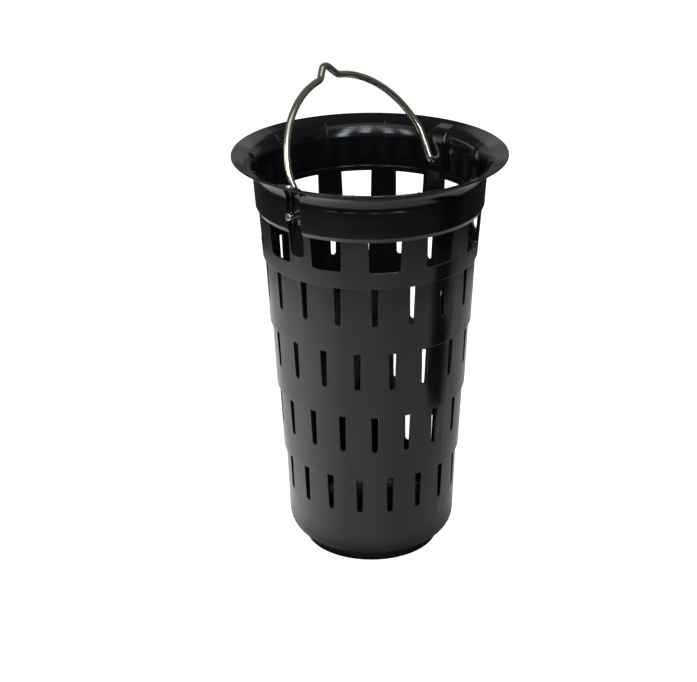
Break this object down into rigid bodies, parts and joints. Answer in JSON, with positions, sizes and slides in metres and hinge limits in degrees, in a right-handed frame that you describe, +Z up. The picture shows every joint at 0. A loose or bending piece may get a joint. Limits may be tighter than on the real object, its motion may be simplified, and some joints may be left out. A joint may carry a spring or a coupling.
{
  "type": "gully silt bucket",
  "caption": "Tall tapered slotted bucket with a wide flange and a wire bail, hung in a street gully to catch silt and leaves.",
  "frame": {"origin": "centre of the foot ring, on the ground", "axes": "+Z up along the bucket's axis; the bail's hinge axis runs along Y, and the bail leans towards -X at rest"},
  "size_m": [0.385, 0.3849, 0.7084],
  "materials": {
    "black_plastic": "glossy moulded black plastic",
    "zinc_wire": "bright zinc-plated round wire with a yellowish cast"
  },
  "bodies": {
    "bucket": {"bucket": "black_plastic"},
    "bail": {"bail": "zinc_wire"}
  },
  "joints": [
    {"name": "bail_swing", "type": "hinge", "parent": "bucket", "child": "bail", "pos_m": [0, 0, 0.547], "axis": [0, 1, 0], "range_deg": [-46, 100]}
  ]
}
